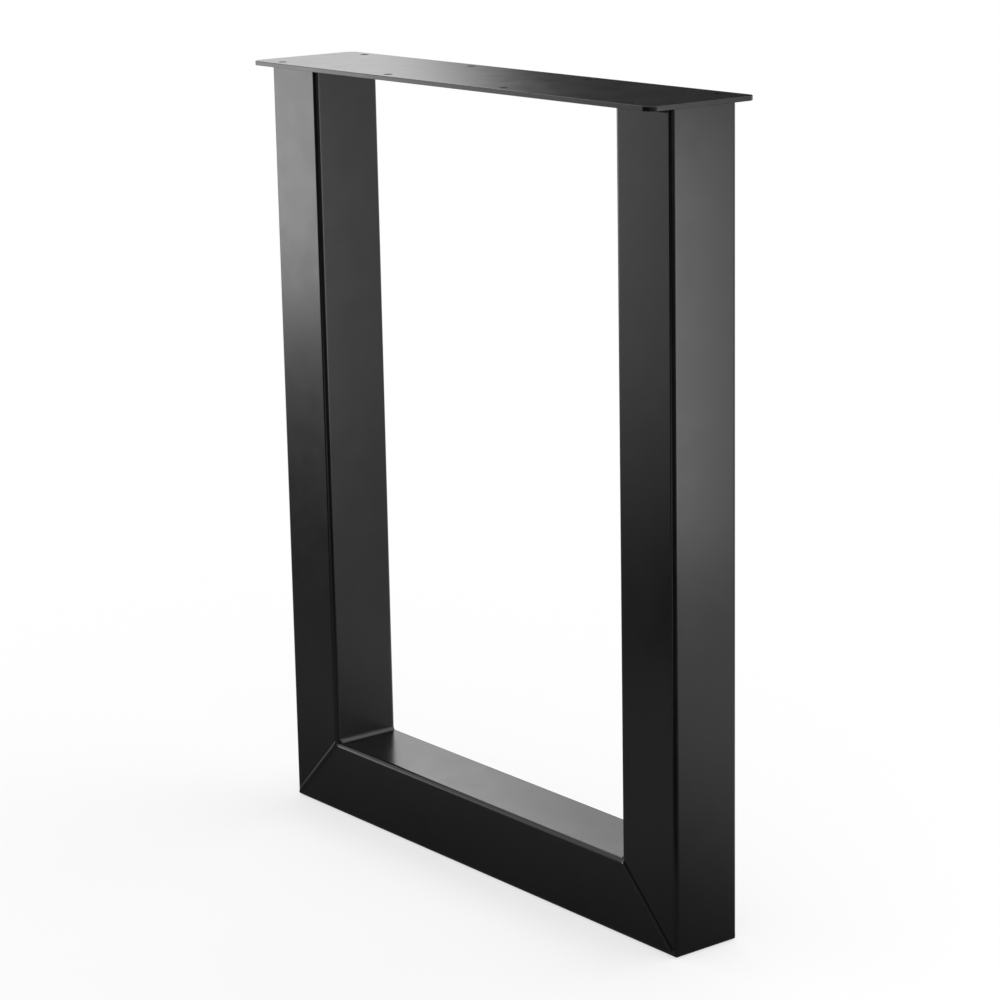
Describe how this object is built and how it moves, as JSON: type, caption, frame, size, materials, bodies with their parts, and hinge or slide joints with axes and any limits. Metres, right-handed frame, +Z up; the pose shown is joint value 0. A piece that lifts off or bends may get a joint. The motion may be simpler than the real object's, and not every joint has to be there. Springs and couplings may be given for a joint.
{
  "type": "u-shaped table leg",
  "caption": "U-shaped steel table leg: square-tube uprights mitred into a bottom rail and welded under a flat screw plate, satin black powder coat.",
  "frame": {"origin": "on the floor, under the middle of the bottom rail", "axes": "+X along the leg's width, +Y through its depth towards the back, +Z up towards the table top"},
  "size_m": [0.56, 0.115, 0.72],
  "materials": {
    "powder_coat": "satin black powder coat on welded steel"
  },
  "bodies": {
    "root": {"top_plate": "powder_coat", "left_upright": "powder_coat", "right_upright": "powder_coat", "bottom_rail": "powder_coat", "left_mitre_weld": "powder_coat", "right_mitre_weld": "powder_coat", "left_plate_weld": "powder_coat", "right_plate_weld": "powder_coat"}
  },
  "joints": []
}
